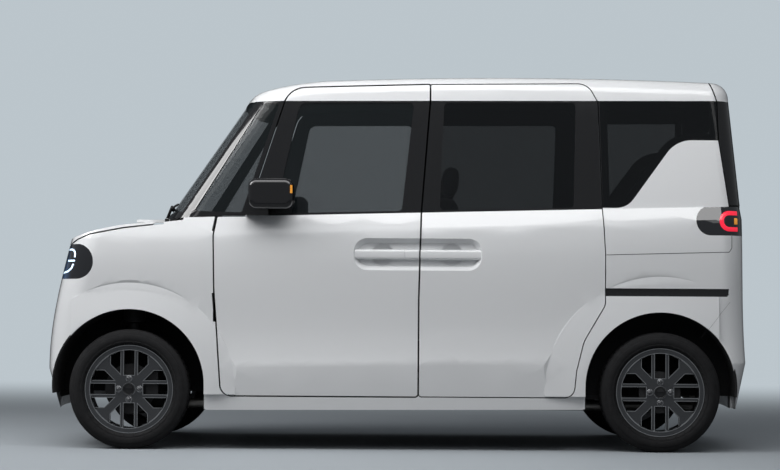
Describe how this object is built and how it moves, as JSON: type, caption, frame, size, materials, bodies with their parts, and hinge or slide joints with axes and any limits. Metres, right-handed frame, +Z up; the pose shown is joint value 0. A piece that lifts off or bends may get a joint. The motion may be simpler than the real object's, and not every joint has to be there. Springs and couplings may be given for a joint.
{
  "type": "kei car",
  "caption": "Tall boxy five-door small car with hinged front doors, sliding rear doors, opening hood and tailgate, steered front wheels and two rows of seats.",
  "frame": {"origin": "on the ground, midway between the bumper ends on the car's centre plane", "axes": "+X towards the rear, +Y towards the right side, +Z up"},
  "size_m": [3.3952, 1.75, 1.7869],
  "materials": {
    "paint": "pearl white paint",
    "structure": "primer grey paint",
    "dark_trim": "matte black",
    "gloss_black": "gloss black",
    "lamp_lens": "smoked clear",
    "tail_lens": "smoked red",
    "clear_glass": "light tint",
    "dark_glass": "privacy tint",
    "chassis_steel": "satin black",
    "engine_alloy": "cast",
    "exhaust_steel": "dull",
    "seat_cloth": "woven",
    "wheel_alloy": "gunmetal with machined edges",
    "tyre": "matte rubber"
  },
  "bodies": {
    "body": {"platform": "structure", "body_sides": "paint", "fenders": "paint", "front_bumper": "paint", "rear_bumper": "paint", "grille": "dark_trim", "headlamps": "lamp_lens", "tail_lamps": "tail_lens", "roof": "paint", "window_frames": "gloss_black", "front_glass": "clear_glass", "privacy_glass": "dark_glass", "sliding_doors": "paint", "cowl": "dark_trim", "arch_liners": "dark_trim", "subframe": "chassis_steel", "rear_axle": "chassis_steel", "engine": "engine_alloy", "fuel_tank": "dark_trim", "exhaust": "exhaust_steel", "dashboard": "dark_trim", "front_seats": "seat_cloth", "rear_seat": "seat_cloth", "hinges": "chassis_steel"},
    "hood": {"hood": "paint"},
    "tailgate": {"tailgate": "paint", "tailgate_frame": "gloss_black", "tailgate_glass": "dark_glass"},
    "knuckle_l": {"knuckle_l": "chassis_steel"},
    "knuckle_r": {"knuckle_r": "chassis_steel"},
    "steering_wheel": {"steering_wheel": "dark_trim"},
    "front_door_l": {"front_door_l": "paint", "front_sash_l": "gloss_black", "front_glass_l": "clear_glass", "mirror_l": "gloss_black"},
    "front_door_r": {"front_door_r": "paint", "front_sash_r": "gloss_black", "front_glass_r": "clear_glass", "mirror_r": "gloss_black"},
    "wheel_fl": {"rim_fl": "wheel_alloy", "tyre_fl": "tyre"},
    "wheel_fr": {"rim_fr": "wheel_alloy", "tyre_fr": "tyre"},
    "wheel_rl": {"rim_rl": "wheel_alloy", "tyre_rl": "tyre"},
    "wheel_rr": {"rim_rr": "wheel_alloy", "tyre_rr": "tyre"}
  },
  "joints": [
    {"name": "front_door_l_hinge", "type": "hinge", "parent": "body", "child": "front_door_l", "pos_m": [-0.74, -0.7, 0.66], "axis": [0, 0, -1], "range_deg": [0, 55]},
    {"name": "front_door_r_hinge", "type": "hinge", "parent": "body", "child": "front_door_r", "pos_m": [-0.74, 0.7, 0.66], "axis": [0, 0, 1], "range_deg": [0, 55]},
    {"name": "hood_hinge", "type": "hinge", "parent": "body", "child": "hood", "pos_m": [-1.085, 0, 1.077], "axis": [0, 1, 0], "range_deg": [0, 50]},
    {"name": "tailgate_hinge", "type": "hinge", "parent": "body", "child": "tailgate", "pos_m": [1.445, 0, 1.742], "axis": [0, -1, 0], "range_deg": [0, 80]},
    {"name": "steer_l", "type": "hinge", "parent": "body", "child": "knuckle_l", "pos_m": [-1.2475, -0.59, 0.172], "axis": [0, 0.1883, 0.9821], "range_deg": [-35, 35]},
    {"name": "steer_r", "type": "hinge", "parent": "body", "child": "knuckle_r", "pos_m": [-1.2475, 0.59, 0.172], "axis": [0, -0.1883, 0.9821], "range_deg": [-35, 35]},
    {"name": "steering_wheel_turn", "type": "hinge", "parent": "body", "child": "steering_wheel", "pos_m": [-0.44, 0.33, 0.94], "axis": [0.9063, 0, 0.4226], "range_deg": [-560, 560]},
    {"name": "wheel_fl_spin", "type": "hinge", "parent": "knuckle_l", "child": "wheel_fl", "pos_m": [-1.2475, -0.645, 0.281], "axis": [0, 1, 0], "continuous": true},
    {"name": "wheel_fr_spin", "type": "hinge", "parent": "knuckle_r", "child": "wheel_fr", "pos_m": [-1.2475, 0.645, 0.281], "axis": [0, 1, 0], "continuous": true},
    {"name": "wheel_rl_spin", "type": "hinge", "parent": "body", "child": "wheel_rl", "pos_m": [1.2475, -0.645, 0.281], "axis": [0, 1, 0], "continuous": true},
    {"name": "wheel_rr_spin", "type": "hinge", "parent": "body", "child": "wheel_rr", "pos_m": [1.2475, 0.645, 0.281], "axis": [0, 1, 0], "continuous": true}
  ],
  "couplings": [
    {"joint": "steer_r", "follows": "steer_l", "ratio": 1},
    {"joint": "steering_wheel_turn", "follows": "steer_l", "ratio": 16}
  ]
}
